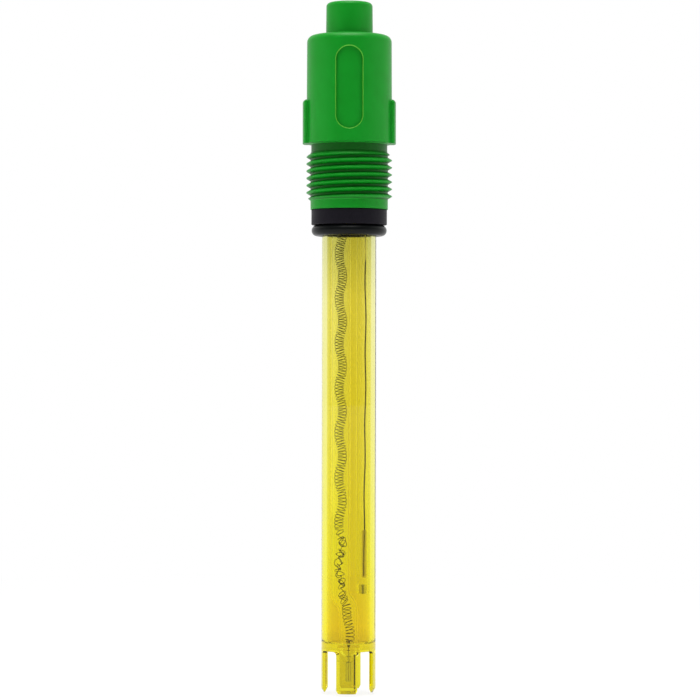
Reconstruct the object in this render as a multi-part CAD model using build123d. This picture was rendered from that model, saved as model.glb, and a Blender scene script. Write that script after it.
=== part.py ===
"""Redox electrode: a screw-in probe with a 12 mm amber shaft and a slotted guard.

The origin lies on the axis at the underside of the head's body, where the probe seats.
+Z points up along the neck, the sensing tip points down, and the label recess faces -Y.
Sizes are in millimetres and angles in degrees.
"""

from build123d import *
import math
import os

# Clearances
glue_gap = 0.05
gel_gap = 0.05
wire_gap = 0.03
ring_gap = 0.02

# Head: neck, body, two side wings, undercut, thread and land in one moulding
neck_top_r = 5.1
neck_draft = 0.08
neck_length = 7.3
neck_edge_r = 0.9
body_height = 23.9
body_top_r = 9.34
body_draft = 0.11
body_edge_r = 1.5
wing_stand = 0.85
wing_thickness = 6.0
wing_height = 9.67
wing_corner_r = 0.7
wing_side_r = 0.6
label_width = 5.93
label_length = 18.05
label_foot = 2.78
label_depth = 0.45
undercut_step = 0.15
undercut_length = 2.0
undercut_fillet_r = 0.2
thread_r = 9.45
thread_pitch = 1.5875
thread_flank_angle = 30.0
thread_crest_flat = 0.2
thread_root_flat = 0.35
thread_length = 10.6
thread_phase_z = -6.82
ridge_sink = 0.1
land_length = 1.9
roof_wall = 4.4

# Cable gland in the neck, left open for a cable
gland_wall = 1.5
gland_length = 8.0
gland_rubber = 1.0
passage_gap = 0.2

# Neck of the tube, and the two rings on it
tube_neck_step = 0.16
thrust_ring_width = 2.46
thrust_ring_height = 3.4
thrust_edge_r = 0.2
o_ring_section = 2.44
shoulder_drop = 1.11

# Body tube with its floor and its slotted guard, in one moulding
shaft_r = 6.0
probe_length = 120.9
tube_wall_top = 1.0
tube_wall_base = 1.15
floor_thickness = 1.2
guard_length = 9.5
guard_wall = 1.1
guard_slots = 4
guard_turn = -4.0
slot_width = 4.55
slot_corner_r = 0.8
slot_drop = 0.3
tip_bevel_height = 0.75
tip_bevel_depth = 0.5
tip_inner_bevel = 0.5
floor_corner_r = 0.8

# Glass stem, set off to one side above and bent back to the axis near the tip
stem_r = 2.2
stem_wall = 0.45
stem_side_share = 0.4
stem_drop = 3.15
stem_tip_wall = 1.3
stem_bend_stand = 11.6
stem_bend_height = 4.8
stem_seal_wall = 0.35
header_height = 5.0
stopper_length = 3.0

# Platinum pin at the tip, with its tail inside the glass
pin_r = 0.7
pin_length = 4.25
pin_edge_r = 0.25
pin_seat = 0.3
pin_tail_r = 0.2
pin_tail_stand = 0.75

# Contact coil, a long spring that winds loosely down the stem
coil_clearance = 0.28
coil_wire_r = 0.12
coil_top_drop = 19.1
coil_base_stand = 1.5
coil_pitch_top = 0.52
coil_pitch_base = 0.74
coil_steps = 6
coil_wire_sides = 3
coil_lead_in = 1.0
coil_lead_out = 0.6
coil_sway = 0.38
coil_sway_length = 9.9
coil_sway_start = 0.8
crumple_above_bend = 13.6
crumple_below_bend = 2.4
crumple_length = 3.1
crumple_share = 0.38

# Reference cell beside the stem
reference_r = 1.5
reference_wall = 0.3
reference_side_gap = 0.2
reference_stand = 10.9
reference_foot_r = 0.4
plug_wall = 0.73
plug_length = 2.0
silver_r = 0.15
silver_shift = 0.25
chloride_wall = 0.4
chloride_length = 10.4
chloride_cap = 0.3
chloride_stand = 1.6

# Liquid junction through the floor, behind the stem
junction_r = 0.6
junction_wall = 0.5
junction_stand = 0.1

# Connections cast into the head
glass_stand = 2.5
lead_gap = 1.0
lead_overlap = 2.0
sleeve_r = 0.6
sleeve_length = 4.0
insulator_wall = 0.25
insulator_overlap = 0.8
potting_cover = 2.5
head_space = 4.0

# Radii worked out from the sizes above
neck_root_r = neck_top_r + neck_draft
body_base_r = body_top_r + body_draft
wing_r = body_base_r + wing_stand
flank_slope = math.tan(math.radians(thread_flank_angle))
thread_depth = (thread_pitch - thread_crest_flat - thread_root_flat) / (2 * flank_slope)
thread_root_r = thread_r - thread_depth
undercut_r = thread_root_r - undercut_step
gland_r = neck_top_r - gland_wall
cable_hole_r = gland_r - gland_rubber
cable_passage_r = cable_hole_r + passage_gap
tube_neck_r = shaft_r - tube_neck_step
socket_r = tube_neck_r + glue_gap
thrust_ring_r = socket_r + thrust_ring_width
o_ring_r = tube_neck_r + ring_gap + o_ring_section / 2
bore_top_r = shaft_r - tube_wall_top
bore_base_r = shaft_r - tube_wall_base
guard_bore_r = shaft_r - guard_wall
stem_bore_r = stem_r - stem_wall
coil_r = stem_bore_r - coil_clearance - coil_sway - coil_wire_r
reference_bore_r = reference_r - reference_wall
plug_r = reference_r - plug_wall
chloride_r = silver_r + chloride_wall

# Places across the tube
reference_x = bore_base_r - reference_side_gap - reference_r
silver_x = reference_x + silver_shift
side_space = bore_base_r + reference_x - reference_r - 2 * stem_r
stem_x = stem_r + stem_side_share * side_space - bore_base_r
junction_y = stem_r + stem_seal_wall + junction_wall + junction_r

# Heights of the head and of what is cast into it
neck_top_z = body_height + neck_length
gland_base_z = neck_top_z - gland_length
socket_roof_z = body_height - roof_wall
potting_top_z = socket_roof_z - head_space
sleeve_top_z = potting_top_z - potting_cover
sleeve_base_z = sleeve_top_z - sleeve_length
lead_top_z = sleeve_base_z + lead_overlap
insulator_base_z = sleeve_base_z - insulator_overlap
glass_top_z = sleeve_base_z - lead_gap
tube_top_z = glass_top_z - glass_stand
header_base_z = tube_top_z - header_height
thread_top_z = -undercut_length
thread_base_z = thread_top_z - thread_length
land_base_z = thread_base_z - land_length
ring_base_z = land_base_z - thrust_ring_height
o_ring_z = ring_base_z - ring_gap - o_ring_section / 2
shaft_top_z = o_ring_z - shoulder_drop

# Heights of the tip and of what the tube holds
guard_tip_z = -probe_length
floor_z = guard_tip_z + guard_length
floor_top_z = floor_z + floor_thickness
stem_tip_z = floor_z - stem_drop
stem_bend_top_z = floor_top_z + stem_bend_stand
pin_tip_z = stem_tip_z - pin_length
pin_tail_top_z = stem_tip_z + stem_tip_wall + pin_tail_stand
coil_top_z = header_base_z - coil_top_drop
coil_base_z = pin_tail_top_z + coil_base_stand
coil_sway_peak_z = coil_top_z - coil_sway_start
crumple_top_z = stem_bend_top_z + crumple_above_bend
crumple_base_z = stem_bend_top_z - crumple_below_bend
reference_base_z = floor_top_z + reference_stand
plug_top_z = reference_base_z + plug_length
chloride_base_z = plug_top_z + chloride_stand
chloride_top_z = chloride_base_z + chloride_length
silver_base_z = chloride_base_z + chloride_cap


def rod(radius, low, high, x=0.0, y=0.0):
    """A round bar along Z between two heights."""
    return Pos(x, y, (low + high) / 2) * Cylinder(radius, high - low)


def tube(outer, inner, low, high, x=0.0):
    """A round tube along Z between two heights."""
    return rod(outer, low, high, x) - rod(inner, low, high, x)


def turned(*points):
    """A solid turned about Z from (radius, height) points."""
    return revolve(make_face(Plane.XZ * Polyline(*points, close=True)), Axis.Z)


def round_edge(solid, radius, at_top=True):
    """The solid with its highest or its lowest circular edge rounded."""
    edges = solid.edges().filter_by(GeomType.CIRCLE).sort_by(Axis.Z)
    return fillet(edges[-1] if at_top else edges[0], radius)


def bore_radius(z):
    """The body tube's bore, which narrows evenly towards the floor."""
    share = (tube_top_z - z) / (tube_top_z - floor_top_z)
    return bore_top_r + (bore_base_r - bore_top_r) * share


# Head cap
def threaded_core():
    """The thread's core with a right-hand V ridge round it that fades out at both ends."""
    half_crest = thread_crest_flat / 2
    half_base = half_crest + (thread_depth + ridge_sink) * flank_slope
    first_turn = math.floor((thread_base_z - thread_phase_z) / thread_pitch)
    start_z = thread_phase_z + first_turn * thread_pitch
    height = math.ceil((thread_top_z - start_z) / thread_pitch) * thread_pitch
    profile = Polyline(
        (thread_root_r - ridge_sink, -half_base),
        (thread_r, -half_crest),
        (thread_r, half_crest),
        (thread_root_r - ridge_sink, half_base),
        close=True,
    )
    section = Pos(0, 0, start_z) * make_face(Plane.XZ * profile)
    path = Helix(thread_pitch, height, thread_root_r, center=(0, 0, start_z))
    ridge = sweep(section, path=path, is_frenet=True)
    core = rod(thread_root_r, start_z - thread_pitch, start_z + height + thread_pitch)
    clear_depth = thread_depth + ridge_sink
    envelope = turned(
        (0, thread_base_z),
        (thread_root_r, thread_base_z),
        (thread_root_r + clear_depth, thread_base_z + clear_depth),
        (thread_root_r + clear_depth, thread_top_z - clear_depth),
        (thread_root_r, thread_top_z),
        (0, thread_top_z),
    )
    return (core + ridge) & envelope


def side_wings():
    """Two lugs on the body's sides that give a grip for turning the head."""
    disc = round_edge(rod(wing_r, 0, wing_height), wing_corner_r)
    wings = disc & Pos(0, 0, wing_height / 2) * Box(2 * wing_r, wing_thickness, wing_height)
    corners = wings.edges().filter_by(Axis.Z)
    return fillet(corners, wing_side_r)


def label_recess():
    """A shallow racetrack pocket of even depth in the front of the body."""
    centre_z = label_foot + label_length / 2
    front = Plane((0, 0, centre_z), x_dir=(0, 0, 1), z_dir=(0, -1, 0))
    slot = extrude(front * SlotOverall(label_length, label_width), wing_r)
    return slot - rod(body_top_r - label_depth, 0, body_height)


def head_cap():
    """Neck, body, wings and threaded barrel, with the tube's socket and the gland's bore."""
    body = turned((0, 0), (body_base_r, 0), (body_top_r, body_height), (0, body_height))
    body = round_edge(body, body_edge_r) + side_wings()
    neck = turned((0, 0), (neck_root_r, 0), (neck_top_r, neck_length), (0, neck_length))
    body += Pos(0, 0, body_height) * round_edge(neck, neck_edge_r)
    undercut = turned(
        (0, 0),
        (undercut_r + undercut_fillet_r, 0),
        (undercut_r, -undercut_fillet_r),
        (undercut_r, thread_top_z + undercut_step),
        (thread_root_r, thread_top_z),
        (0, thread_top_z),
    )
    land = rod(thread_root_r, land_base_z, thread_base_z)
    head = body - label_recess() + undercut + threaded_core() + land
    head -= rod(socket_r, land_base_z, socket_roof_z)
    head -= rod(cable_passage_r, socket_roof_z, neck_top_z)
    return head - rod(gland_r, gland_base_z, neck_top_z)


def cable_gland():
    """A rubber bush in the neck, flush with its top, with the cable's hole."""
    return tube(gland_r, cable_hole_r, gland_base_z, neck_top_z)


# Sealing rings
def thrust_ring():
    """The stiff ring under the head that presses on the sealing ring."""
    ring = tube(thrust_ring_r, socket_r, ring_base_z, land_base_z)
    rims = ring.edges().filter_by(GeomType.CIRCLE).sort_by(SortBy.RADIUS)[-2:]
    return fillet(rims, thrust_edge_r)


def o_ring():
    """The round sealing ring on the tube's neck."""
    return Pos(0, 0, o_ring_z) * Torus(o_ring_r, o_ring_section / 2)


# Body tube
def slot_cutters():
    """Straight cuts across the guard, each of which opens two slots with rounded tops."""
    top = floor_z - slot_drop
    low = guard_tip_z - slot_corner_r
    section = Pos(0, (top + low) / 2) * RectangleRounded(slot_width, top - low, slot_corner_r)
    cut = extrude(Plane.XZ * section, 2 * shaft_r, both=True)
    step = 360 / guard_slots
    return [Rot(0, 0, guard_turn + step * (n + 0.5)) * cut for n in range(guard_slots // 2)]


def body_tube():
    """The amber shaft: neck for the rings, narrowing bore, floor and four guard prongs."""
    body = turned(
        (bore_top_r, tube_top_z),
        (tube_neck_r, tube_top_z),
        (tube_neck_r, shaft_top_z),
        (shaft_r, shaft_top_z),
        (shaft_r, guard_tip_z + tip_bevel_height),
        (shaft_r - tip_bevel_depth, guard_tip_z),
        (guard_bore_r + tip_inner_bevel, guard_tip_z),
        (guard_bore_r, guard_tip_z + tip_bevel_height),
        (guard_bore_r, floor_z),
        (0, floor_z),
        (0, floor_top_z),
        (bore_base_r, floor_top_z),
    )
    floor_corner = body.edges().filter_by_position(Axis.Z, floor_top_z, floor_top_z)
    body = fillet(floor_corner, floor_corner_r)
    for cut in slot_cutters():
        body -= cut
    body -= rod(stem_r + stem_seal_wall, floor_z, floor_top_z)
    return body - rod(junction_r, floor_z, floor_top_z + floor_corner_r, y=junction_y)


def outer_junction():
    """The porous pin that lets the gel meet the liquid through the floor."""
    return rod(junction_r, floor_z - junction_stand, floor_top_z + junction_stand, y=junction_y)


def stem_seal():
    """The resin collar that holds the stem in the floor."""
    return tube(stem_r + stem_seal_wall, stem_r, floor_z, floor_top_z)


def header_plug():
    """The resin plug that closes the tube's top round the two glass tubes."""
    plug = turned(
        (0, header_base_z),
        (bore_radius(header_base_z) - glue_gap, header_base_z),
        (bore_radius(tube_top_z) - glue_gap, tube_top_z),
        (0, tube_top_z),
    )
    plug -= rod(stem_r, header_base_z, tube_top_z, stem_x)
    return plug - rod(reference_r, header_base_z, tube_top_z, reference_x)


def electrolyte_gel():
    """The gel that fills the body tube round the stem and the reference tube."""
    gel = turned(
        (0, floor_top_z + gel_gap),
        (bore_radius(floor_top_z) - gel_gap, floor_top_z + gel_gap),
        (bore_radius(header_base_z) - gel_gap, header_base_z - gel_gap),
        (0, header_base_z - gel_gap),
    )
    gel = round_edge(gel, floor_corner_r - gel_gap, at_top=False)
    gel -= stem_bar(stem_r + gel_gap, stem_tip_z + stem_r)
    gel -= rod(reference_r + gel_gap, reference_base_z - gel_gap, header_base_z, reference_x)
    pocket_top_z = floor_top_z + junction_stand + gel_gap
    return gel - rod(junction_r + gel_gap, floor_top_z, pocket_top_z, y=junction_y)


# Glass stem
def stem_path(end_z):
    """The stem's centre line: down one side, through two equal arcs and on down the axis."""
    top = Vector(stem_x, 0, glass_top_z)
    bend_top = Vector(stem_x, 0, stem_bend_top_z)
    bend_base = Vector(0, 0, stem_bend_top_z - stem_bend_height)
    middle = (bend_top + bend_base) / 2
    first = TangentArc(bend_top, middle, tangent=(0, 0, -1))
    second = TangentArc(middle, bend_base, tangent=first % 1)
    return Wire([Line(top, bend_top), first, second, Line(bend_base, (0, 0, end_z))])


def stem_bar(radius, end_z):
    """A round bar along the stem's centre line, with a round lower end about end_z."""
    start = Plane((stem_x, 0, glass_top_z), z_dir=(0, 0, -1))
    return sweep(start * Circle(radius), path=stem_path(end_z)) + Pos(0, 0, end_z) * Sphere(radius)


def stem_tube():
    """The glass stem, hollow down to a thick closed tip that holds the pin."""
    bore = stem_bar(stem_bore_r, stem_tip_z + stem_tip_wall + stem_bore_r)
    return stem_bar(stem_r, stem_tip_z + stem_r) - bore - platinum_pin()


def stem_stopper():
    """The plug in the stem's top, with the coil's lead through it."""
    plug = rod(stem_bore_r, glass_top_z - stopper_length, glass_top_z, stem_x)
    return plug - rod(coil_wire_r + wire_gap, plug.bounding_box().min.Z, glass_top_z, stem_x)


def platinum_pin():
    """The sensing pin at the tip, with the thin tail that runs up through the glass."""
    pin = round_edge(rod(pin_r, pin_tip_z, stem_tip_z + pin_seat), pin_edge_r, at_top=False)
    return pin + rod(pin_tail_r, stem_tip_z, pin_tail_top_z)


# Contact coil
def coil_pitch(z):
    """The coil hangs tight at the top and looser below, and is crumpled above the bend."""
    share = (coil_top_z - z) / (coil_top_z - coil_base_z)
    pitch = coil_pitch_top + (coil_pitch_base - coil_pitch_top) * share
    if crumple_base_z < z < crumple_top_z:
        phase = 2 * math.pi * (z - crumple_top_z) / crumple_length
        pitch *= 1 + crumple_share * math.sin(phase)
    return pitch


def coil_points():
    """Points down the coil: its lead, its turns about the swaying line, and its end."""
    path = stem_path(stem_tip_z + stem_r)
    points = [Vector(stem_x, 0, lead_top_z), Vector(stem_x, 0, coil_top_z + coil_lead_in)]
    down = glass_top_z - coil_top_z
    spot = path.position_at(down, position_mode=PositionMode.LENGTH)
    turn = 0.0
    while spot.Z > coil_base_z:
        along = path.tangent_at(down, position_mode=PositionMode.LENGTH)
        across = along.cross(Vector(0, 1, 0))
        sway = 2 * math.pi * (spot.Z - coil_sway_peak_z) / coil_sway_length
        side = coil_r * math.cos(turn) + coil_sway * math.cos(sway)
        depth = coil_r * math.sin(turn) + coil_sway * math.sin(sway)
        points.append(spot + across * side + Vector(0, depth, 0))
        turn += 2 * math.pi / coil_steps
        down += coil_pitch(spot.Z) / coil_steps
        spot = path.position_at(down, position_mode=PositionMode.LENGTH)
    end_z = pin_tail_top_z + wire_gap
    return points + [Vector(0, 0, coil_base_z - coil_lead_out), Vector(0, 0, end_z)]


def wire_along(points, radius, sides):
    """A wire of even section along straight steps, mitred where two steps meet."""
    steps = [(b - a).normalized() for a, b in zip(points, points[1:])]
    start = Plane(points[0], z_dir=steps[0])
    angles = [2 * math.pi * n / sides for n in range(sides)]
    ring = [
        start.from_local_coords(Vector(radius * math.cos(a), radius * math.sin(a), 0))
        for a in angles
    ]
    rings = [ring]
    for end, step, following in zip(points[1:], steps, steps[1:] + steps[-1:]):
        mitre = step + following
        ring = [c + step * ((end - c).dot(mitre) / step.dot(mitre)) for c in ring]
        rings.append(ring)
    faces = [Face(Wire.make_polygon(rings[0])), Face(Wire.make_polygon(rings[-1]))]
    for above, below in zip(rings, rings[1:]):
        for n in range(sides):
            following = (n + 1) % sides
            corners = [above[n], above[following], below[following], below[n]]
            faces.append(Face(Wire.make_polygon(corners)))
    return Solid(Shell(faces))


def contact_coil():
    """The long spring that joins the pin's tail to the lead in the head."""
    return wire_along(coil_points(), coil_wire_r, coil_wire_sides)


# Reference cell
def reference_tube():
    """The thin glass tube, closed at the foot but for the hole of its porous plug."""
    glass = rod(reference_r, reference_base_z, glass_top_z, reference_x)
    glass = round_edge(glass, reference_foot_r, at_top=False)
    glass -= rod(reference_bore_r, plug_top_z, glass_top_z, reference_x)
    return glass - rod(plug_r, reference_base_z, plug_top_z, reference_x)


def reference_plug():
    """The porous plug in the reference tube's foot."""
    return rod(plug_r, reference_base_z, plug_top_z, reference_x)


def silver_wire():
    """The straight silver wire, from the coated end up to its sleeve."""
    return rod(silver_r, silver_base_z, lead_top_z, silver_x)


def chloride_coating():
    """The salt coating round the wire's end."""
    coating = rod(chloride_r, chloride_base_z, chloride_top_z, silver_x)
    return coating - rod(silver_r, silver_base_z, chloride_top_z, silver_x)


def reference_gel():
    """The filling of the reference tube, round the wire and its coating."""
    top_z = glass_top_z - stopper_length - gel_gap
    gel = rod(reference_bore_r - gel_gap, plug_top_z + gel_gap, top_z, reference_x)
    gel -= rod(silver_r + gel_gap, silver_base_z, top_z, silver_x)
    low, high = chloride_base_z - gel_gap, chloride_top_z + gel_gap
    return gel - rod(chloride_r + gel_gap, low, high, silver_x)


def reference_stopper():
    """The plug in the reference tube's top, with the wire through it."""
    low = glass_top_z - stopper_length
    plug = rod(reference_bore_r, low, glass_top_z, reference_x)
    return plug - rod(silver_r + wire_gap, low, glass_top_z, silver_x)


# Connections in the head
def core_sleeve():
    """The crimp sleeve on the coil's lead."""
    return tube(sleeve_r, coil_wire_r + wire_gap, sleeve_base_z, sleeve_top_z, stem_x)


def core_insulator():
    """The shrink sleeve that keeps the core's crimp apart from the screen's."""
    outer = sleeve_r + insulator_wall
    return tube(outer, sleeve_r, insulator_base_z, sleeve_top_z, stem_x)


def screen_sleeve():
    """The crimp sleeve on the silver wire."""
    return tube(sleeve_r, silver_r + wire_gap, sleeve_base_z, sleeve_top_z, silver_x)


def head_potting():
    """The resin cast over the tube's top, round the glass ends and both sleeves."""
    resin = rod(socket_r, tube_top_z, potting_top_z)
    resin -= rod(stem_r, tube_top_z, glass_top_z, stem_x)
    resin -= rod(reference_r, tube_top_z, glass_top_z, reference_x)
    resin -= rod(coil_wire_r + wire_gap, glass_top_z, insulator_base_z, stem_x)
    resin -= rod(sleeve_r + insulator_wall, insulator_base_z, sleeve_top_z, stem_x)
    resin -= rod(silver_r + wire_gap, glass_top_z, sleeve_base_z, silver_x)
    return resin - rod(sleeve_r, sleeve_base_z, sleeve_top_z, silver_x)


PIECES = (
    head_cap, cable_gland, thrust_ring, o_ring,
    body_tube, outer_junction, stem_seal, header_plug, electrolyte_gel,
    stem_tube, stem_stopper, platinum_pin, contact_coil,
    reference_tube, reference_plug, silver_wire, chloride_coating, reference_gel,
    reference_stopper, core_sleeve, core_insulator, screen_sleeve, head_potting,
)

os.makedirs("parts", exist_ok=True)
for piece in PIECES:
    export_step(piece(), f"parts/{piece.__name__}.step")
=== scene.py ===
"""The redox electrode's looks: finishes for the CAD pieces, round wires, stage and camera.

Lengths are in metres in the CAD's frame. The origin lies at the seat under the head,
+Z points up along the neck, and the label recess faces -Y.
"""

import math

import bpy
import numpy as np
from bpy.props import FloatProperty, FloatVectorProperty, PointerProperty
from bpy.types import Operator, Panel, PropertyGroup
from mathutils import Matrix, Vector


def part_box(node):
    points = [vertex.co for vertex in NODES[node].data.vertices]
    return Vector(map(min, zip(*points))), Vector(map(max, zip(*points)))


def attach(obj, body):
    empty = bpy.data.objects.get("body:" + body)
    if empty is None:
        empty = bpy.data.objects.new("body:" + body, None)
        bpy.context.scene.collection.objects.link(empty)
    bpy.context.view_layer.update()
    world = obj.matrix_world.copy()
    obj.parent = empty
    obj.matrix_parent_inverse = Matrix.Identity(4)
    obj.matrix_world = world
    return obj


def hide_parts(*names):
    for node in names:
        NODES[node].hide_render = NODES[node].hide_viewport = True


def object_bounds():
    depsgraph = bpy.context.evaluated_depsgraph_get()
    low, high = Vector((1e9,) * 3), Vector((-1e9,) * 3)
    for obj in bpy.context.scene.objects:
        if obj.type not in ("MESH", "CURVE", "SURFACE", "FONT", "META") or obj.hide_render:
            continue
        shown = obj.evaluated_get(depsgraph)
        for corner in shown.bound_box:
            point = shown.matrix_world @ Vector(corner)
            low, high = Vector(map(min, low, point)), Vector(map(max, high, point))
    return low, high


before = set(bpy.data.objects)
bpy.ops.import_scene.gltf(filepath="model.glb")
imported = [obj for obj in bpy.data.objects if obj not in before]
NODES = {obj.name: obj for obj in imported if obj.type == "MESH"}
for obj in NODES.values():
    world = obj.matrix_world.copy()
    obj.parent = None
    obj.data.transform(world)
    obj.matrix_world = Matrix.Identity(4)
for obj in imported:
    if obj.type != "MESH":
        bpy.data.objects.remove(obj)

bl_info = {
    "name": "Redox Electrode",
    "version": (1, 0, 0),
    "blender": (4, 5, 0),
    "location": "3D View > Sidebar > Electrode",
    "description": "Finishes, wires, stage and camera for the redox electrode",
    "category": "Object",
}

CAD_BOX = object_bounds()
MM = 0.001

# Places that the finishes and the wires share with the CAD pieces
SHAFT_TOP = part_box("o_ring")[0].z
SHAFT_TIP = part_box("body_tube")[0].z
STEM_X = sum(corner.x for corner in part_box("stem_stopper")) / 2
WIRE_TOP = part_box("silver_wire")[1].z
PIN_TAIL_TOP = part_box("platinum_pin")[1].z
TAIL_GAP = 0.03 * MM
THREAD_TOP = -0.2 * MM
THREAD_BASE = -12.4 * MM
THREAD_ROOT = 8.55 * MM
THREAD_CREST = 9.3 * MM
RECESS_MIDDLE = 11.8 * MM
RECESS_STRAIGHT = 6.06 * MM
RECESS_R = 2.965 * MM
RIM_HALF_WIDTH = 0.05 * MM
RIM_FADE = 0.14 * MM
RECESS_FRONT = -5.0 * MM
TARNISH_TOP = -25.5 * MM
TARNISH_FADE = 0.8 * MM
BEND_TOP = -98.6 * MM
BEND_HEIGHT = 4.8 * MM

# How the two wires wander; a waver of the crumpled stretch is (how far, height of one wave)
SWAY_PEAK = -59 * MM
WAVE_PEAK = -23 * MM
BOW_TOP = 5 * MM
BOW_HEIGHT = 100 * MM
CRUMPLE_STARTS = (84 * MM, 88 * MM)
CRUMPLE_STOPS = (99.5 * MM, 102 * MM)
PITCH_WAVER = (0.5, 3.1 * MM)
RADIUS_WAVER = (0.3, 2.3 * MM)
SIDE_WAVER = (0.22 * MM, 1.7 * MM)
DEPTH_WAVER = (0.2 * MM, 2.9 * MM)


def length(name, description, default):
    """A size in metres, shown in the scene's own unit."""
    return FloatProperty(name=name, description=description, default=default, unit="LENGTH",
                         precision=5, min=0.0)


def colour(name, description, default):
    """A linear colour without alpha."""
    return FloatVectorProperty(name=name, description=description, default=default,
                               subtype="COLOR", size=3, min=0.0, max=1.0)


class ElectrodeSizes(PropertyGroup):
    """Sizes of the wires that are made here, and of the camera's view."""

    coil_wire: length("Coil wire radius", "Radius of the contact coil's wire", 0.066 * MM)
    coil_radius: length("Coil radius", "Radius of the coil's turns", 0.97 * MM)
    coil_top: FloatProperty(name="Coil top", description="Height at which the turns start",
                            default=-18.6 * MM, unit="LENGTH", precision=5)
    coil_base: FloatProperty(name="Coil base", description="Height at which the turns end",
                             default=-111.0 * MM, unit="LENGTH", precision=5)
    pitch_top: length("Top pitch", "Distance between turns at the coil's top", 0.52 * MM)
    pitch_base: length("Base pitch", "Distance between turns at the coil's base", 0.74 * MM)
    sway: length("Sway", "How far the coil wanders from the stem's middle", 0.38 * MM)
    sway_length: length("Sway length", "Height of one full wander", 9.9 * MM)
    turn_lean: FloatProperty(name="Turn lean", description="How far the turns lean with the wander",
                             default=1.6, min=0.0)
    silver_bow: length("Wire bow", "How far the reference wire bows sideways", 0.28 * MM)
    silver_wave: length("Wire wave", "How far the reference wire wavers", 0.09 * MM)
    silver_wave_length: length("Wire wave length", "Height of one waver of the reference wire", 15.5 * MM)
    view_height: length("View height", "Height that the picture takes in at the axis", 154.7 * MM)
    view_distance: length("Camera distance", "From the axis to the camera", 575 * MM)


class ElectrodeColours(PropertyGroup):
    """Colours of the finishes, as linear values."""

    green: colour("Green plastic", "The head's moulded plastic", (0.0, 0.255, 0.012))
    green_deep: colour("Deep green", "The darker mottle in the head's plastic", (0.0, 0.21, 0.006))
    # Painted shade: the next colour darkens the plastic down between the thread's ridges.
    green_valley: colour("Green valleys", "Painted shade down between the thread's ridges", (0.0, 0.09, 0.002))
    # Painted highlight: the next colour is a lit line along the recess's edge, not a raised line.
    green_rim: colour("Recess rim highlight", "Painted highlight along the recess's edge", (0.12, 0.5, 0.04))
    black_ring: colour("Thrust ring", "The turned black ring", (0.006, 0.005, 0.009))
    rubber: colour("Rubber", "The cable gland and the stoppers", (0.02, 0.02, 0.02))
    seal: colour("Sealing ring", "The round sealing ring", (0.004, 0.005, 0.005))
    # Painted shade: the next colour darkens the shaft right below the rings, as the head's shadow.
    amber_top: colour("Amber top shade", "Painted shade of the head on the shaft right below the rings", (0.79, 0.82, 0.62))
    amber_upper: colour("Upper amber", "The shaft's plastic in its upper part", (0.99, 1.0, 0.74))
    amber_middle: colour("Amber midway", "The shaft's plastic half-way down", (1.0, 1.0, 0.43))
    amber_low: colour("Amber low down", "The shaft's plastic round the crumpled coil", (1.0, 1.0, 0.14))
    amber_floor: colour("Amber above the floor", "The shaft just above its floor", (1.0, 0.92, 0.02))
    amber_tip: colour("Amber at the tip", "The guard's prongs", (0.77, 0.7, 0.02))
    amber_depth: colour("Amber depth", "What thick plastic lets through", (0.917, 0.875, 0.067))
    gel: colour("Gel", "What the filling lets through", (0.889, 0.815, 0.074))
    glass: colour("Glass", "The stem and the reference tube", (0.99, 0.99, 0.97))
    wire: colour("Coil wire", "The contact coil", (0.05, 0.035, 0.012))
    silver: colour("Silver", "The reference wire's clean upper end", (0.75, 0.72, 0.6))
    tarnish: colour("Tarnish", "The tarnished reference wire", (0.05, 0.038, 0.012))
    coating: colour("Salt coating", "The coated end of the reference wire", (1.0, 0.9, 0.66))
    platinum: colour("Platinum", "The sensing pin", (0.72, 0.70, 0.67))
    brass: colour("Brass", "The two crimp sleeves", (0.75, 0.56, 0.25))
    resin: colour("Cast resin", "The header plug and the head's filling", (0.8, 0.66, 0.08))
    collar: colour("Clear resin", "The collar round the stem in the floor", (0.99, 0.97, 0.8))


# Node helpers
def new_material(name):
    """An empty node material and its tree."""
    material = bpy.data.materials.new(name)
    material.use_nodes = True
    tree = material.node_tree
    tree.nodes.clear()
    return material, tree


def add(tree, kind, inputs=None, **settings):
    """A node of one kind with its settings made and its sockets filled or linked."""
    node = tree.nodes.new(kind)
    for key, value in settings.items():
        setattr(node, key, value)
    for key, value in (inputs or {}).items():
        if isinstance(value, bpy.types.NodeSocket):
            tree.links.new(value, node.inputs[key])
        else:
            node.inputs[key].default_value = value
    return node


def opaque(rgb):
    """A colour with full alpha for a shader's socket."""
    return (*rgb, 1.0)


def shaded(rgb, share):
    """A colour darkened to a share of itself, with full alpha."""
    return opaque([share * part for part in rgb])


def mixed(tree, factor, first, second, blend="MIX"):
    """A colour mixed from two by a factor."""
    mix = add(tree, "ShaderNodeMix", data_type="RGBA", blend_type=blend)
    for index, value in ((0, factor), (6, first), (7, second)):
        if isinstance(value, bpy.types.NodeSocket):
            tree.links.new(value, mix.inputs[index])
        else:
            mix.inputs[index].default_value = value
    return mix.outputs[2]


def principled(tree, **inputs):
    """A Principled shader wired to the material's output; underscores stand for spaces."""
    named = {key.replace("_", " "): value for key, value in inputs.items()}
    shader = add(tree, "ShaderNodeBsdfPrincipled", named)
    output = add(tree, "ShaderNodeOutputMaterial", {"Surface": shader.outputs[0]})
    return shader, output


def bump(tree, height, strength, distance, normal=None):
    """A normal from a height, on top of another normal where one is given."""
    node = add(tree, "ShaderNodeBump", {"Height": height, "Strength": strength, "Distance": distance})
    if normal:
        tree.links.new(normal, node.inputs["Normal"])
    return node.outputs["Normal"]


def node_group(name, inputs, outputs, kind="NodeSocketFloat"):
    """An empty shader node group with value inputs and outputs of one kind, and its two ends."""
    group = bpy.data.node_groups.new(name, "ShaderNodeTree")
    for label, default in inputs:
        socket = group.interface.new_socket(label, in_out="INPUT", socket_type="NodeSocketFloat")
        socket.default_value = default
    for label in outputs:
        group.interface.new_socket(label, in_out="OUTPUT", socket_type=kind)
    return group, group.nodes.new("NodeGroupInput"), group.nodes.new("NodeGroupOutput")


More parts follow.
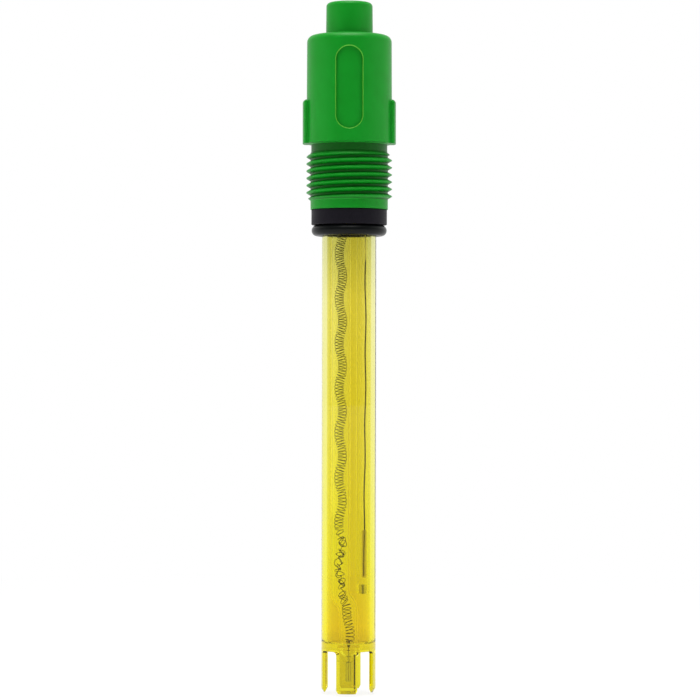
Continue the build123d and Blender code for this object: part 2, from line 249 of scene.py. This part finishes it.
def use_group(tree, group, **inputs):
    """A group placed in a material with its own values."""
    node = add(tree, "ShaderNodeGroup", node_tree=group)
    for key, value in inputs.items():
        node.inputs[key].default_value = value
    return node


# Surface effects shared by several materials
def moulding_grain():
    """Fine grain and broad mottle of a moulded surface: noise at two scales."""
    group, given, out = node_group(
        "moulding grain", [("Grain", 9000.0), ("Mottle", 260.0)], ["Grain Height", "Mottle"])
    where = add(group, "ShaderNodeTexCoord").outputs["Object"]
    for label, socket, detail in (("Grain", "Grain Height", 3.0), ("Mottle", "Mottle", 4.0)):
        noise = add(group, "ShaderNodeTexNoise",
                    {"Vector": where, "Scale": given.outputs[label], "Detail": detail, "Roughness": 0.55})
        group.links.new(noise.outputs[0], out.inputs[socket])
    return group


def stretched_noise(group, across, along, detail):
    """Noise with one scale across the object and another along its height."""
    where = add(group, "ShaderNodeTexCoord").outputs["Object"]
    scale = add(group, "ShaderNodeCombineXYZ", {"X": across, "Y": across, "Z": along})
    place = add(group, "ShaderNodeMapping", {"Vector": where, "Scale": scale.outputs[0]})
    noise = add(group, "ShaderNodeTexNoise", {"Vector": place.outputs[0], "Scale": 1.0, "Detail": detail})
    return noise.outputs[0]


def flow_streaks():
    """Streaks that run down the object, as moulded or drawn clear stuff has them."""
    group, given, out = node_group("flow streaks", [("Width", 900.0), ("Length", 14.0)], ["Streak"])
    streak = stretched_noise(group, given.outputs["Width"], given.outputs["Length"], detail=2.5)
    group.links.new(streak, out.inputs["Streak"])
    return group


def turned_marks():
    """Fine rings left by turning: noise that changes mostly with height."""
    group, given, out = node_group("turned marks", [("Fineness", 9000.0)], ["Mark"])
    mark = stretched_noise(group, 60.0, given.outputs["Fineness"], detail=3.0)
    group.links.new(mark, out.inputs["Mark"])
    return group


def soft_edges():
    """Normals rounded over at sharp edges, as a mould leaves them."""
    group, given, out = node_group("soft edges", [("Radius", 0.15 * MM)], ["Normal"], "NodeSocketVector")
    rounded = add(group, "ShaderNodeBevel", {"Radius": given.outputs["Radius"]}, samples=6)
    group.links.new(rounded.outputs[0], out.inputs["Normal"])
    return group


def shared_group(make):
    """The node group that a function makes, made once."""
    name = make.__name__.replace("_", " ")
    return bpy.data.node_groups.get(name) or make()


# Materials
def moulded_material(name, rgb, roughness, grain, strength, specular=0.3):
    """A moulded plastic or rubber: mottled colour, fine grain, uneven gloss and soft edges."""
    material, tree = new_material(name)
    rounded = use_group(tree, shared_group(soft_edges)).outputs["Normal"]
    effect = use_group(tree, shared_group(moulding_grain), Grain=grain)
    tint = mixed(tree, effect.outputs["Mottle"], shaded(rgb, 0.7), opaque(rgb))
    finish_moulding(tree, effect, tint, rounded, roughness, strength, specular)
    return material


def finish_moulding(tree, effect, tint, rounded, roughness, strength, specular):
    """The shader of a moulded surface, from its mottle, grain, colour and rounded normals."""
    gloss = add(tree, "ShaderNodeMapRange", {
        "Value": effect.outputs["Mottle"], "To Min": roughness * 0.9, "To Max": roughness * 1.12})
    principled(tree, Base_Color=tint, Roughness=gloss.outputs[0], Specular_IOR_Level=specular,
               Normal=bump(tree, effect.outputs["Grain Height"], strength, 0.05 * MM, rounded))


def ramp_between(tree, value, low, high, at_low=0.0, at_high=1.0):
    """A smooth change from one number to another as a value goes from low to high."""
    return add(tree, "ShaderNodeMapRange", {
        "Value": value, "From Min": low, "From Max": high, "To Min": at_low, "To Max": at_high},
        interpolation_type="SMOOTHSTEP").outputs[0]


def calculate(tree, operation, *values):
    """One number worked out from others by a Math node."""
    return add(tree, "ShaderNodeMath", dict(enumerate(values)), operation=operation).outputs[0]


def distance_of(tree, first, second):
    """The length of a pair of numbers taken as a vector."""
    squares = [calculate(tree, "MULTIPLY", part, part) for part in (first, second)]
    return calculate(tree, "SQRT", calculate(tree, "ADD", *squares))


def thread_valleys(tree, x, y, z):
    """A mask of painted shade in the thread, by the distance from the axis: 1 at its root, 0 at its crest.
    """
    deep = ramp_between(tree, distance_of(tree, x, y), THREAD_ROOT, THREAD_CREST, 1.0, 0.0)
    middle, half = (THREAD_TOP + THREAD_BASE) / 2, (THREAD_TOP - THREAD_BASE) / 2
    return calculate(tree, "MULTIPLY", deep, calculate(tree, "COMPARE", z, middle, half))


def recess_rim(tree, x, y, z):
    """A mask of a painted highlight along the rim round the recess, by the distance from a slot outline in X
    and Z.

    That distance is the length of (x, what |z - middle| has over the straight half) minus
    the end radius.
    """
    along = calculate(tree, "ABSOLUTE", calculate(tree, "SUBTRACT", z, RECESS_MIDDLE))
    past = calculate(tree, "MAXIMUM", calculate(tree, "SUBTRACT", along, RECESS_STRAIGHT), 0.0)
    off_rim = calculate(tree, "SUBTRACT", distance_of(tree, x, past), RECESS_R)
    rim = ramp_between(tree, calculate(tree, "ABSOLUTE", off_rim), RIM_HALF_WIDTH, RIM_FADE, 1.0, 0.0)
    return calculate(tree, "MULTIPLY", rim, calculate(tree, "LESS_THAN", y, RECESS_FRONT))


def green_material(colours):
    """The head's green plastic, with painted shade down in the thread and a painted highlight on the rim
    round the recess.
    """
    material, tree = new_material("green moulded plastic")
    rounded = use_group(tree, shared_group(soft_edges), Radius=0.2 * MM).outputs["Normal"]
    effect = use_group(tree, shared_group(moulding_grain), Grain=7000.0)
    tint = mixed(tree, effect.outputs["Mottle"], opaque(colours.green_deep), opaque(colours.green))
    where = add(tree, "ShaderNodeTexCoord").outputs["Object"]
    x, y, z = add(tree, "ShaderNodeSeparateXYZ", {"Vector": where}).outputs
    # Painted shade down in the thread's valleys.
    tint = mixed(tree, thread_valleys(tree, x, y, z), tint, opaque(colours.green_valley))
    # Painted highlight along the recess's rim.
    tint = mixed(tree, recess_rim(tree, x, y, z), tint, opaque(colours.green_rim))
    finish_moulding(tree, effect, tint, rounded, roughness=0.42, strength=0.12, specular=0.22)
    return material


def turned_material(name, base, metallic, roughness, fineness, strength, specular=0.5):
    """A turned or drawn surface: fine rings in colour, gloss and relief."""
    material, tree = new_material(name)
    mark = use_group(tree, shared_group(turned_marks), Fineness=fineness).outputs["Mark"]
    tint = mixed(tree, mark, shaded(base, 0.8), opaque(base))
    finish_turning(tree, mark, tint, metallic, roughness, strength, specular)
    return material


def finish_turning(tree, mark, tint, metallic, roughness, strength, specular=0.5):
    """The shader of a turned or drawn surface, from its marks and colour."""
    gloss = add(tree, "ShaderNodeMapRange", {
        "Value": mark, "To Min": roughness * 0.8, "To Max": roughness * 1.25})
    principled(tree, Base_Color=tint, Metallic=metallic, Roughness=gloss.outputs[0],
               Specular_IOR_Level=specular, Normal=bump(tree, mark, strength, 0.02 * MM))


def silver_material(colours):
    """The reference wire: clean silver at its upper end, tarnished dark below."""
    material, tree = new_material("tarnished silver")
    mark = use_group(tree, shared_group(turned_marks), Fineness=3000.0).outputs["Mark"]
    where = add(tree, "ShaderNodeTexCoord").outputs["Object"]
    height = add(tree, "ShaderNodeSeparateXYZ", {"Vector": where}).outputs["Z"]
    clean = ramp_between(tree, height, TARNISH_TOP - TARNISH_FADE, TARNISH_TOP + TARNISH_FADE)
    dark = mixed(tree, mark, shaded(colours.tarnish, 0.7), opaque(colours.tarnish))
    tint = mixed(tree, clean, dark, opaque(colours.silver))
    finish_turning(tree, mark, tint, metallic=1.0, roughness=0.35, strength=0.1)
    return material


def amber_material(colours):
    """The shaft's clear amber: painted shade of the head right at the rings, pale below them, deeper towards
    the tip, with flow streaks.
    """
    material, tree = new_material("clear amber plastic")
    where = add(tree, "ShaderNodeTexCoord").outputs["Object"]
    height = add(tree, "ShaderNodeSeparateXYZ", {"Vector": where}).outputs["Z"]
    share = add(tree, "ShaderNodeMapRange", {
        "Value": height, "From Min": SHAFT_TOP, "From Max": SHAFT_TIP, "To Min": 0.0, "To Max": 1.0})
    ramp = add(tree, "ShaderNodeValToRGB", {"Fac": share.outputs[0]})
    # The first stop is painted shade of the head on the shaft.
    stops = ((0.0, colours.amber_top), (0.14, colours.amber_upper), (0.45, colours.amber_middle),
             (0.71, colours.amber_low), (0.86, colours.amber_floor), (0.93, colours.amber_tip))
    while len(ramp.color_ramp.elements) < len(stops):
        ramp.color_ramp.elements.new(0.5)
    for element, (place, rgb) in zip(ramp.color_ramp.elements, stops):
        element.position = place
        element.color = opaque(rgb)
    streak = use_group(tree, shared_group(flow_streaks)).outputs["Streak"]
    darker = mixed(tree, 1.0, ramp.outputs[0], opaque((0.95, 0.93, 0.86)), "MULTIPLY")
    contrast = add(tree, "ShaderNodeMapRange", {"Value": streak, "From Min": 0.35, "From Max": 0.65})
    _, output = principled(
        tree, Base_Color=mixed(tree, contrast.outputs[0], darker, ramp.outputs[0]),
        Roughness=0.0, IOR=1.33, Transmission_Weight=1.0,
        Normal=bump(tree, streak, 0.04, 0.05 * MM))
    absorb = add(tree, "ShaderNodeVolumeAbsorption", {
        "Color": opaque(colours.amber_depth), "Density": 200.0})
    tree.links.new(absorb.outputs[0], output.inputs["Volume"])
    return material


def gel_material(colours):
    """The filling: it bends no light, and its colour deepens with the way through it."""
    material, tree = new_material("clear gel")
    streak = use_group(tree, shared_group(flow_streaks), Width=420.0, Length=25.0).outputs["Streak"]
    tint = mixed(tree, streak, opaque((0.98, 0.975, 0.93)), opaque((1.0, 1.0, 0.98)))
    _, output = principled(tree, Base_Color=tint, Roughness=0.0, IOR=1.0, Transmission_Weight=1.0)
    absorb = add(tree, "ShaderNodeVolumeAbsorption", {"Color": opaque(colours.gel), "Density": 270.0})
    tree.links.new(absorb.outputs[0], output.inputs["Volume"])
    return material


def glass_material(colours):
    """Drawn glass in gel, which hardly bends light, with faint streaks along it."""
    material, tree = new_material("drawn glass")
    streak = use_group(tree, shared_group(flow_streaks), Width=2000.0, Length=30.0).outputs["Streak"]
    tint = mixed(tree, streak, shaded(colours.glass, 0.97), opaque(colours.glass))
    principled(tree, Base_Color=tint, Roughness=0.0, IOR=1.12, Transmission_Weight=1.0,
               Normal=bump(tree, streak, 0.03, 0.02 * MM))
    return material


def resin_material(name, rgb):
    """Cast amber resin, clear enough to glow."""
    material, tree = new_material(name)
    effect = use_group(tree, shared_group(moulding_grain), Grain=2500.0)
    tint = mixed(tree, effect.outputs["Mottle"], shaded(rgb, 0.9), opaque(rgb))
    principled(tree, Base_Color=tint, Roughness=0.12, IOR=1.5, Transmission_Weight=0.9,
               Normal=bump(tree, effect.outputs["Grain Height"], 0.05, 0.02 * MM))
    return material


def collar_material(rgb):
    """The clear resin in the floor, which bends no light against the plastic round it."""
    material, tree = new_material("clear resin")
    mottle = use_group(tree, shared_group(moulding_grain)).outputs["Mottle"]
    tint = mixed(tree, mottle, shaded(rgb, 0.95), opaque(rgb))
    principled(tree, Base_Color=tint, Roughness=0.0, IOR=1.0, Transmission_Weight=1.0)
    return material


def porous_material(name, transmission):
    """White porous stuff: pores as small dark pits. Wet through, it lets light pass."""
    material, tree = new_material(name)
    where = add(tree, "ShaderNodeTexCoord").outputs["Object"]
    pores = add(tree, "ShaderNodeTexVoronoi", {"Vector": where, "Scale": 9000.0}).outputs["Distance"]
    tint = mixed(tree, pores, opaque((0.78, 0.74, 0.62)), opaque((0.96, 0.94, 0.86)))
    principled(tree, Base_Color=tint, Roughness=0.5, IOR=1.04, Transmission_Weight=transmission,
               Normal=bump(tree, pores, 0.3, 0.02 * MM))
    return material


def salt_material(colours):
    """The thin salt coating, mottled and half clear."""
    material, tree = new_material("brown salt")
    effect = use_group(tree, shared_group(moulding_grain), Grain=4000.0, Mottle=900.0)
    tint = mixed(tree, effect.outputs["Mottle"], shaded(colours.coating, 0.7), opaque(colours.coating))
    principled(tree, Base_Color=tint, Roughness=0.5, IOR=1.05, Transmission_Weight=0.8,
               Normal=bump(tree, effect.outputs["Grain Height"], 0.4, 0.03 * MM))
    return material


def give(material, *names):
    """Puts a material on every material slot of the named CAD nodes."""
    for name in names:
        for slot in NODES[name].material_slots:
            slot.material = material


# Meshes
def grid_faces(rows, columns):
    """Corner indices of a grid's quads, closed round in its columns, as one array."""
    row, column = np.meshgrid(np.arange(rows - 1), np.arange(columns), indexing="ij")
    following = (column + 1) % columns
    quads = [row * columns + column, row * columns + following,
             (row + 1) * columns + following, (row + 1) * columns + column]
    return np.stack(quads, axis=-1).reshape(-1, 4)


def wire_mesh(name, line, side, radius, sides):
    """A round wire along a line of points, closed at both ends by a fan.

    Each ring is the point plus the radius times (cos a across + sin a upright), where across
    is the given side direction made square to the line and upright is square to both.
    """
    along = np.gradient(line, axis=0)
    along /= np.linalg.norm(along, axis=1, keepdims=True)
    across = side - along * np.sum(side * along, axis=1, keepdims=True)
    across /= np.linalg.norm(across, axis=1, keepdims=True)
    upright = np.cross(along, across)
    angle = np.linspace(0, 2 * np.pi, sides, endpoint=False)[None, :, None]
    rings = line[:, None, :] + radius * (np.cos(angle) * across[:, None] + np.sin(angle) * upright[:, None])
    points = np.concatenate([rings.reshape(-1, 3), line[:1], line[-1:]])
    quads = grid_faces(len(line), sides)
    turn = np.arange(sides)
    following = (turn + 1) % sides
    last = (len(line) - 1) * sides
    start_pole, end_pole = len(points) - 2, len(points) - 1
    start = np.stack([following, turn, np.full(sides, start_pole)], axis=-1)
    end = np.stack([last + turn, last + following, np.full(sides, end_pole)], axis=-1)
    return new_object(name, points, quads.tolist() + start.tolist() + end.tolist())


def new_object(name, points, faces):
    """An object at the origin with smooth faces, its place in its mesh."""
    mesh = bpy.data.meshes.new(name)
    mesh.from_pydata(points.tolist(), [], faces)
    mesh.validate()
    mesh.shade_smooth()
    piece = bpy.data.objects.new(name, mesh)
    bpy.context.scene.collection.objects.link(piece)
    return piece


def smooth_step(value, low, high):
    """0 below low, 1 above high, and a smooth cubic between them."""
    share = np.clip((value - low) / (high - low), 0, 1)
    return share * share * (3 - 2 * share)


def stem_line(z):
    """The stem's middle in X at each height: straight, two equal arcs, straight.

    An arc's sideways step is its radius minus the root of (radius squared - height squared).
    """
    half = BEND_HEIGHT / 2
    half_step = abs(STEM_X) / 2
    radius = (half * half + half_step * half_step) / (2 * half_step)
    down = np.clip(BEND_TOP - z, 0, BEND_HEIGHT)
    upper = radius - np.sqrt(radius ** 2 - np.minimum(down, half) ** 2)
    rest = np.clip(BEND_HEIGHT - down, 0, half)
    lower = radius - np.sqrt(radius ** 2 - rest ** 2)
    return STEM_X + np.where(down < half, upper, 2 * half_step - lower)


def waver(crumple, size, wave_length, z, wave=np.sin):
    """A wave along the height: its size times how crumpled the coil is there times the wave."""
    return size * crumple * wave(2 * np.pi * z / wave_length)


def coil_line(sizes, steps=20, samples=20000, taper_turns=1.5):
    """The contact coil's wire and the outward direction at each of its points.

    The turn angle is the sum of 2 pi over the pitch down the stem. The coil's centre is the
    stem's middle plus a slow circular sway. The wire lies at the coil's radius times
    (cos, sin) of the turn angle, in a plane that leans with the centre's own slope.
    In the crumpled stretch the pitch, the radius and the centre waver faster.
    """
    z = np.linspace(sizes.coil_top, sizes.coil_base, samples)
    share = (sizes.coil_top - z) / (sizes.coil_top - sizes.coil_base)
    crumple = smooth_step(-z, *CRUMPLE_STARTS) * (1 - smooth_step(-z, *CRUMPLE_STOPS))
    pitch = sizes.pitch_top + (sizes.pitch_base - sizes.pitch_top) * share
    pitch = pitch * (1 + waver(crumple, *PITCH_WAVER, z))
    turns = np.concatenate([[0], np.cumsum((z[:-1] - z[1:]) / pitch[:-1])])
    end = turns[-1]
    turn = np.linspace(0, end, int(end * steps))
    z = np.interp(turn, turns, z)
    crumple = np.interp(turn, turns, crumple)
    angle = 2 * np.pi * turn
    taper = smooth_step(turn, 0, taper_turns) * (1 - smooth_step(turn, end - taper_turns, end))
    narrowing, narrowing_length = RADIUS_WAVER
    narrow = 0.5 + 0.5 * np.sin(2 * np.pi * z / narrowing_length)
    radius = sizes.coil_radius * taper * (1 - narrowing * crumple * narrow)
    sway = 2 * np.pi * (z - SWAY_PEAK) / sizes.sway_length
    drift_x = sizes.sway * np.cos(sway) + waver(crumple, *SIDE_WAVER, z)
    drift_y = sizes.sway * np.sin(sway) + waver(crumple, *DEPTH_WAVER, z, np.cos)
    middle = stem_line(z)
    centre = np.stack([middle + taper * drift_x, taper * drift_y, z], axis=-1)
    lean = centre.copy()
    lean[:, :2] *= sizes.turn_lean
    along = np.gradient(lean, z, axis=0)
    along /= np.linalg.norm(along, axis=1, keepdims=True)
    across = np.array([1.0, 0.0, 0.0]) - along * along[:, :1]
    across /= np.linalg.norm(across, axis=1, keepdims=True)
    deep = np.cross(along, across)
    outward = across * np.cos(angle)[:, None] + deep * np.sin(angle)[:, None]
    return centre + radius[:, None] * outward, outward


def make_coil(sizes, colours):
    """The contact coil as one round wire, from its lead at the top to the pin's tail."""
    line, outward = coil_line(sizes)
    lead_top = np.array([[STEM_X, 0, WIRE_TOP]])
    lead_end = np.array([[0, 0, PIN_TAIL_TOP + TAIL_GAP]])
    line = np.concatenate([lead_top, line, lead_end])
    outward = np.concatenate([outward[:1], outward, outward[-1:]])
    coil = wire_mesh("coil_wire", line, outward, sizes.coil_wire, sides=8)
    coil.data.materials.append(turned_material(
        "tarnished wire", colours.wire, metallic=1.0, roughness=0.35, fineness=4000.0, strength=0.1))
    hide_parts("contact_coil")
    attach(coil, "root")


def make_reference_wire(sizes, colours, points=220):
    """The silver wire, bowed sideways, with a slow waver on top.

    Its X is the middle of its CAD piece plus the bow times the squared sine of its share of
    the bow's height plus the waver times the cosine of the height over its wave length.
    """
    low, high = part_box("silver_wire")
    z = np.linspace(high.z, low.z, points)
    middle_x = (low.x + high.x) / 2
    bow = np.sin(np.pi * np.clip((BOW_TOP - z) / BOW_HEIGHT, 0, 1)) ** 2
    x = middle_x + sizes.silver_bow * bow + sizes.silver_wave * np.cos(
        2 * np.pi * (z - WAVE_PEAK) / sizes.silver_wave_length)
    line = np.stack([x, np.zeros_like(z), z], axis=-1)
    side = np.tile([0.0, 1.0, 0.0], (len(z), 1))
    wire = wire_mesh("reference_wire", line, side, (high.x - low.x) / 2, sides=12)
    wire.data.materials.append(silver_material(colours))
    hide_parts("silver_wire")
    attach(wire, "root")


class ELECTRODE_OT_head(Operator):
    """Green moulded plastic on the head and black rubber in its neck."""

    bl_idname = "electrode.head"
    bl_label = "Finish the head"

    def execute(self, context):
        colours = context.scene.electrode_colours
        rubber = moulded_material("black rubber", colours.rubber, roughness=0.6, grain=5000.0, strength=0.3)
        give(green_material(colours), "head_cap")
        give(rubber, "cable_gland", "stem_stopper", "reference_stopper", "core_insulator")
        return {"FINISHED"}


class ELECTRODE_OT_rings(Operator):
    """Turned black ring and smooth sealing ring below the head."""

    bl_idname = "electrode.rings"
    bl_label = "Finish the rings"

    def execute(self, context):
        colours = context.scene.electrode_colours
        turned = turned_material("turned black plastic", colours.black_ring, metallic=0.0, roughness=0.5,
                                 fineness=9000.0, strength=0.2, specular=0.15)
        seal = moulded_material("seal rubber", colours.seal, roughness=0.3, grain=6000.0, strength=0.08,
                                specular=0.16)
        give(turned, "thrust_ring")
        give(seal, "o_ring")
        return {"FINISHED"}


class ELECTRODE_OT_shaft(Operator):
    """Amber shaft, gel, glass and resin."""

    bl_idname = "electrode.shaft"
    bl_label = "Finish the shaft and its filling"

    def execute(self, context):
        colours = context.scene.electrode_colours
        give(amber_material(colours), "body_tube")
        give(gel_material(colours), "electrolyte_gel", "reference_gel")
        give(glass_material(colours), "stem_tube", "reference_tube")
        give(resin_material("amber resin", colours.resin), "header_plug", "head_potting")
        give(collar_material(colours.collar), "stem_seal")
        give(porous_material("porous white", 0.0), "outer_junction")
        give(porous_material("wet porous white", 0.96), "reference_plug")
        return {"FINISHED"}


class ELECTRODE_OT_wires(Operator):
    """Round-wire coil and reference wire, with the pin, the coating and the sleeves."""

    bl_idname = "electrode.wires"
    bl_label = "Make the wires"

    def execute(self, context):
        sizes = context.scene.electrode_sizes
        colours = context.scene.electrode_colours
        make_coil(sizes, colours)
        make_reference_wire(sizes, colours)
        platinum = turned_material("bright platinum", colours.platinum, metallic=1.0, roughness=0.16,
                                   fineness=9000.0, strength=0.05)
        give(platinum, "platinum_pin")
        give(salt_material(colours), "chloride_coating")
        brass = turned_material("brass", colours.brass, metallic=1.0, roughness=0.3, fineness=5000.0,
                                strength=0.1)
        give(brass, "core_sleeve", "screen_sleeve")
        return {"FINISHED"}


class ELECTRODE_OT_stage(Operator):
    """White floor and surroundings, soft lamps and the photograph's camera."""

    bl_idname = "electrode.stage"
    bl_label = "Set the stage"

    def execute(self, context):
        scene = context.scene
        scene.view_settings.view_transform = "Standard"
        scene.cycles.max_bounces = 40
        scene.cycles.transmission_bounces = 40
        scene.cycles.transparent_max_bounces = 16
        make_world(scene)
        make_floor()
        make_lamps(scene)
        make_camera(scene)
        return {"FINISHED"}


def ray_is(tree, *labels):
    """1 for a ray of any of the kinds named."""
    path = add(tree, "ShaderNodeLightPath").outputs
    total = path[labels[0]]
    for label in labels[1:]:
        total = calculate(tree, "MAXIMUM", total, path[label])
    return total


def make_world(scene):
    """A white surround that is dimmer towards the front, like a studio's open side.

    What shows straight on or through glass is full white. Mirrored rays see white behind and a
    dim front, and the light itself comes from the sides, the back and above.
    """
    world = bpy.data.worlds.new("white studio")
    world.use_nodes = True
    tree = world.node_tree
    tree.nodes.clear()
    way = add(tree, "ShaderNodeTexCoord").outputs["Generated"]
    depth = add(tree, "ShaderNodeSeparateXYZ", {"Vector": way}).outputs["Y"]
    lit_by = ramp_between(tree, depth, low=-0.95, high=0.1, at_low=0.12, at_high=1.0)
    mirrored_by = ramp_between(tree, depth, low=-0.5, high=0.95, at_low=0.1, at_high=1.0)
    light, mirrored, seen = [
        add(tree, "ShaderNodeBackground", {"Color": opaque((1, 1, 1)), "Strength": strength}).outputs[0]
        for strength in (lit_by, mirrored_by, 1.0)]
    inner = add(tree, "ShaderNodeMixShader", {0: ray_is(tree, "Is Glossy Ray"), 1: light, 2: mirrored})
    straight = ray_is(tree, "Is Camera Ray", "Is Transmission Ray")
    outer = add(tree, "ShaderNodeMixShader", {0: straight, 1: inner.outputs[0], 2: seen})
    add(tree, "ShaderNodeOutputWorld", {"Surface": outer.outputs[0]})
    scene.world = world


def make_floor():
    """A wide pale disc under the guard, white where it is seen but for the object's shadow."""
    radius, drop = 3.0, 0.5 * MM
    angle = np.linspace(0, 2 * np.pi, 96, endpoint=False)
    rim = np.stack([radius * np.cos(angle), radius * np.sin(angle), np.zeros_like(angle)], axis=-1)
    points = rim + [0, 0, SHAFT_TIP - drop]
    floor = new_object("floor", points, [list(range(len(points)))])
    material, tree = new_material("pale floor")
    matt = add(tree, "ShaderNodeBsdfPrincipled", {"Base Color": opaque((0.9, 0.9, 0.9)), "Roughness": 0.9,
                                                  "Specular IOR Level": 0.0})
    white = add(tree, "ShaderNodeEmission", {"Color": opaque((1, 1, 1)), "Strength": 1.0})
    where = add(tree, "ShaderNodeTexCoord").outputs["Object"]
    away = add(tree, "ShaderNodeVectorMath", {0: where, 1: (1.0, 1.0, 0.0)}, operation="MULTIPLY")
    far = add(tree, "ShaderNodeVectorMath", {0: away.outputs[0]}, operation="LENGTH").outputs["Value"]
    whiteness = ramp_between(tree, far, low=0.02, high=0.3, at_low=0.85, at_high=1.0)
    seen = ray_is(tree, "Is Camera Ray", "Is Glossy Ray", "Is Transmission Ray")
    share = calculate(tree, "MULTIPLY", seen, whiteness)
    mix = add(tree, "ShaderNodeMixShader", {0: share, 1: matt.outputs[0], 2: white.outputs[0]})
    add(tree, "ShaderNodeOutputMaterial", {"Surface": mix.outputs[0]})
    floor.data.materials.append(material)


def make_lamps(scene):
    """Soft boxes at both sides and above, each aimed at the object's middle."""
    middle = Vector((0, 0, (CAD_BOX[0].z + CAD_BOX[1].z) / 2))
    boxes = (("left_box", (-0.55, -0.15, 0.05), 0.5, 1.3, False),
             ("right_box", (0.55, -0.1, 0.05), 0.5, 0.9, False),
             ("top_box", (0.0, -0.12, 0.6), 0.4, 4.2, True))
    for name, place, size, power, mirrored in boxes:
        lamp = bpy.data.lights.new(name, "AREA")
        lamp.size = size
        lamp.energy = power
        box = bpy.data.objects.new(name, lamp)
        box.location = place
        box.visible_glossy = mirrored
        box.rotation_euler = (middle - box.location).to_track_quat("-Z", "Y").to_euler()
        scene.collection.objects.link(box)


def make_camera(scene):
    """The photograph's level view, square, with the axis a hair left of the middle."""
    sizes = scene.electrode_sizes
    camera = bpy.data.cameras.new("camera")
    camera.angle = 2 * math.atan(sizes.view_height / 2 / sizes.view_distance)
    camera.clip_start = 0.01
    holder = bpy.data.objects.new("camera", camera)
    aside, height, roll = 0.23 * MM, -45.5 * MM, -0.09
    holder.location = (aside, -sizes.view_distance, height)
    holder.rotation_euler = (math.radians(90), math.radians(roll), 0)
    scene.collection.objects.link(holder)
    bpy.context.scene.camera = holder


class ELECTRODE_PT_panel(Panel):
    """Lists the steps and the values in the sidebar."""

    bl_idname = "ELECTRODE_PT_panel"
    bl_label = "Redox Electrode"
    bl_space_type = "VIEW_3D"
    bl_region_type = "UI"
    bl_category = "Electrode"

    def draw(self, context):
        for step in STEPS:
            self.layout.operator(step.bl_idname)
        for group in (context.scene.electrode_sizes, context.scene.electrode_colours):
            for name in group.__annotations__:
                self.layout.prop(group, name)


STEPS = (ELECTRODE_OT_head, ELECTRODE_OT_rings, ELECTRODE_OT_shaft, ELECTRODE_OT_wires, ELECTRODE_OT_stage)
CLASSES = (ElectrodeSizes, ElectrodeColours, *STEPS, ELECTRODE_PT_panel)


def register():
    """Adds the classes and hangs the two groups of values on the scene."""
    for one in CLASSES:
        bpy.utils.register_class(one)
    bpy.types.Scene.electrode_sizes = PointerProperty(type=ElectrodeSizes)
    bpy.types.Scene.electrode_colours = PointerProperty(type=ElectrodeColours)


def unregister():
    """Takes the classes and the values off again."""
    del bpy.types.Scene.electrode_colours
    del bpy.types.Scene.electrode_sizes
    for one in reversed(CLASSES):
        bpy.utils.unregister_class(one)


def main():
    register()
    for step in STEPS:
        area, name = step.bl_idname.split(".")
        getattr(getattr(bpy.ops, area), name)()


if __name__ == "__main__":
    main()
